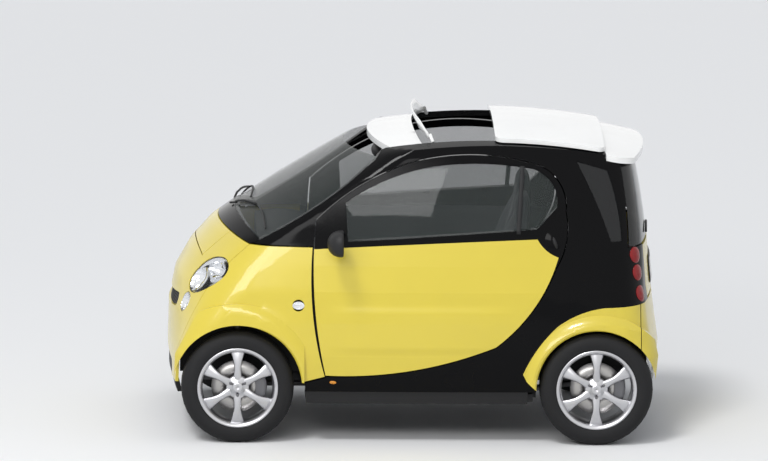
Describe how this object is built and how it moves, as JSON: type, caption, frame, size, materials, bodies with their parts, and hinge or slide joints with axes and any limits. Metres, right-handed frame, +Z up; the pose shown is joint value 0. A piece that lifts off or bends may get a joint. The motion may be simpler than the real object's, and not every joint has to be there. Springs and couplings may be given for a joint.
{
  "type": "two-seat microcar with a sliding roof panel",
  "caption": "Short two-seat city car with a black safety cell, yellow plastic panels, white roof panel slid open and alloy wheels; doors, tailgate, roof and wheels move.",
  "frame": {"origin": "middle of the car's length and width, on the ground under the tyres", "axes": "+X forward, +Y to the car's left, +Z up"},
  "size_m": [2.4999, 1.776, 1.615],
  "materials": {
    "cell_black": "gloss",
    "panel_yellow": "gloss",
    "roof_white": "gloss",
    "glass": "clear",
    "dark_glass": "tinted",
    "trim_black": "matte",
    "lamp_clear": "clear",
    "lamp_red": "clear",
    "underbody": "satin",
    "seat_cloth": "matte",
    "tyre": "matte",
    "alloy": "satin",
    "metal": "satin"
  },
  "bodies": {
    "car": {"front_panel": "panel_yellow", "front_fenders": "panel_yellow", "headlamps": "lamp_clear", "auxiliary_lamps": "lamp_clear", "grille": "trim_black", "front_lip": "trim_black", "windscreen": "glass", "cowl": "cell_black", "safety_cell": "cell_black", "rear_fenders": "panel_yellow", "rear_bumper": "panel_yellow", "tail_lamps": "lamp_red", "quarter_glass": "dark_glass", "roof_header": "roof_white", "rear_roof": "roof_white", "wind_deflector": "roof_white", "platform": "underbody", "wheel_liners": "trim_black", "side_skirts": "trim_black", "seat_left": "seat_cloth", "seat_right": "seat_cloth", "dashboard": "trim_black", "steering_wheel": "trim_black", "engine_block": "metal", "front_suspension": "metal", "rear_axle": "metal"},
    "door_left": {"door_frame_left": "cell_black", "door_skin_left": "panel_yellow", "door_glass_left": "glass", "door_mirror_left": "trim_black"},
    "door_right": {"door_frame_right": "cell_black", "door_skin_right": "panel_yellow", "door_glass_right": "glass", "door_mirror_right": "trim_black"},
    "hatch": {"hatch_glass": "dark_glass"},
    "tailgate": {"tailgate": "panel_yellow"},
    "roof_panel": {"roof_panel": "roof_white"},
    "bonnet": {"bonnet": "panel_yellow"},
    "knuckle_left": {"knuckle_left": "metal"},
    "knuckle_right": {"knuckle_right": "metal"},
    "wheel_fl": {"rim_fl": "alloy", "tyre_fl": "tyre"},
    "wheel_fr": {"rim_fr": "alloy", "tyre_fr": "tyre"},
    "wheel_rl": {"rim_rl": "alloy", "tyre_rl": "tyre"},
    "wheel_rr": {"rim_rr": "alloy", "tyre_rr": "tyre"}
  },
  "joints": [
    {"name": "steering_left", "type": "hinge", "parent": "car", "child": "knuckle_left", "pos_m": [0.905, 0.583, 0.28475], "axis": [0, -0.196, 0.9806], "range_deg": [-32, 32]},
    {"name": "steering_right", "type": "hinge", "parent": "car", "child": "knuckle_right", "pos_m": [0.905, -0.583, 0.28475], "axis": [0, 0.196, 0.9806], "range_deg": [-32, 32]},
    {"name": "wheel_fl_spin", "type": "hinge", "parent": "knuckle_left", "child": "wheel_fl", "pos_m": [0.905, 0.636, 0.28475], "axis": [0, 1, 0], "continuous": true},
    {"name": "wheel_fr_spin", "type": "hinge", "parent": "knuckle_right", "child": "wheel_fr", "pos_m": [0.905, -0.636, 0.28475], "axis": [0, 1, 0], "continuous": true},
    {"name": "wheel_rl_spin", "type": "hinge", "parent": "car", "child": "wheel_rl", "pos_m": [-0.907, 0.658, 0.28675], "axis": [0, 1, 0], "continuous": true},
    {"name": "wheel_rr_spin", "type": "hinge", "parent": "car", "child": "wheel_rr", "pos_m": [-0.907, -0.658, 0.28675], "axis": [0, 1, 0], "continuous": true},
    {"name": "door_left_hinge", "type": "hinge", "parent": "car", "child": "door_left", "pos_m": [0.545, 0.745, 0.75], "axis": [0, 0, -1], "range_deg": [0, 65]},
    {"name": "door_right_hinge", "type": "hinge", "parent": "car", "child": "door_right", "pos_m": [0.545, -0.745, 0.75], "axis": [0, 0, 1], "range_deg": [0, 65]},
    {"name": "hatch_hinge", "type": "hinge", "parent": "car", "child": "hatch", "pos_m": [-1.125, 0, 1.405], "axis": [0, 1, 0], "range_deg": [0, 75]},
    {"name": "tailgate_hinge", "type": "hinge", "parent": "car", "child": "tailgate", "pos_m": [-1.215, 0, 0.712], "axis": [0, -1, 0], "range_deg": [0, 80]},
    {"name": "roof_slide", "type": "hinge", "parent": "car", "child": "roof_panel", "pos_m": [-0.35, 0, -1.951], "axis": [0, 1, 0], "range_deg": [0, 4.7]},
    {"name": "bonnet_lift", "type": "slide", "parent": "car", "child": "bonnet", "axis": [0.7071, 0, 0.7071], "range_m": [0, 0.35]}
  ],
  "couplings": [
    {"joint": "steering_right", "follows": "steering_left", "ratio": 1}
  ]
}
